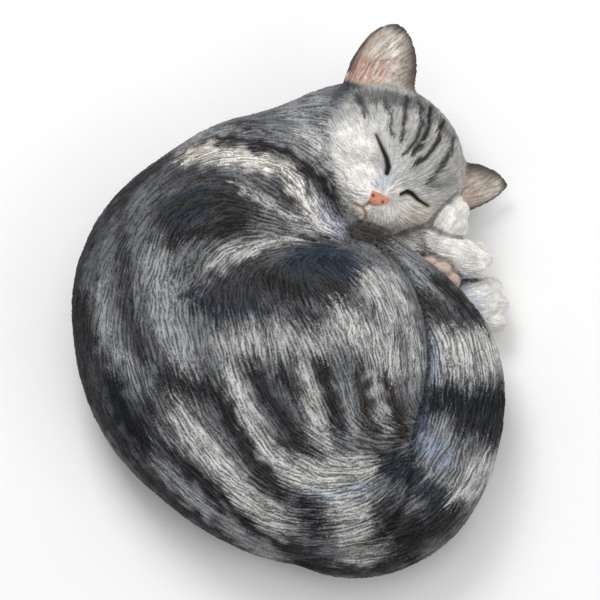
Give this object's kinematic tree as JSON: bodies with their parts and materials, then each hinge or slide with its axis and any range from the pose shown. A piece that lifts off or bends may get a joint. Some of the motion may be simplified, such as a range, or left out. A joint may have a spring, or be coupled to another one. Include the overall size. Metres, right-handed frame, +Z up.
{
  "type": "cat figurine",
  "caption": "Sleeping tabby cat figurine in hand-painted carved ceramic, curled on its side with the tail wrapped round to its chin; a free-standing ornament.",
  "frame": {"origin": "centre of the bounding box, on the surface that the figurine rests on", "axes": "+Z up; +Y from the rump towards the crown of the head; +X towards the gathered paws"},
  "size_m": [0.2503, 0.3136, 0.103],
  "materials": {
    "tabby_coat": "hand-painted silver tabby over carved fur, matt",
    "tabby_face": "hand-painted tabby face with a cream muzzle, matt",
    "ear_paint": "pink inner ear with a grey-brown rim, matt",
    "white_paws": "white painted fur with grey bands, matt",
    "bare_ceramic": "unglazed fired clay",
    "felt": "pressed wool felt"
  },
  "bodies": {
    "root": {"body_shell": "tabby_coat", "tail": "tabby_coat", "head_shell": "tabby_face", "right_ear": "ear_paint", "left_ear": "ear_paint", "right_forelimb": "white_paws", "left_forepaw": "white_paws", "right_hind_foot": "white_paws", "left_hind_foot": "white_paws", "base_disc": "bare_ceramic", "felt_pad_1": "felt", "felt_pad_2": "felt", "felt_pad_3": "felt", "felt_pad_4": "felt"}
  },
  "joints": []
}
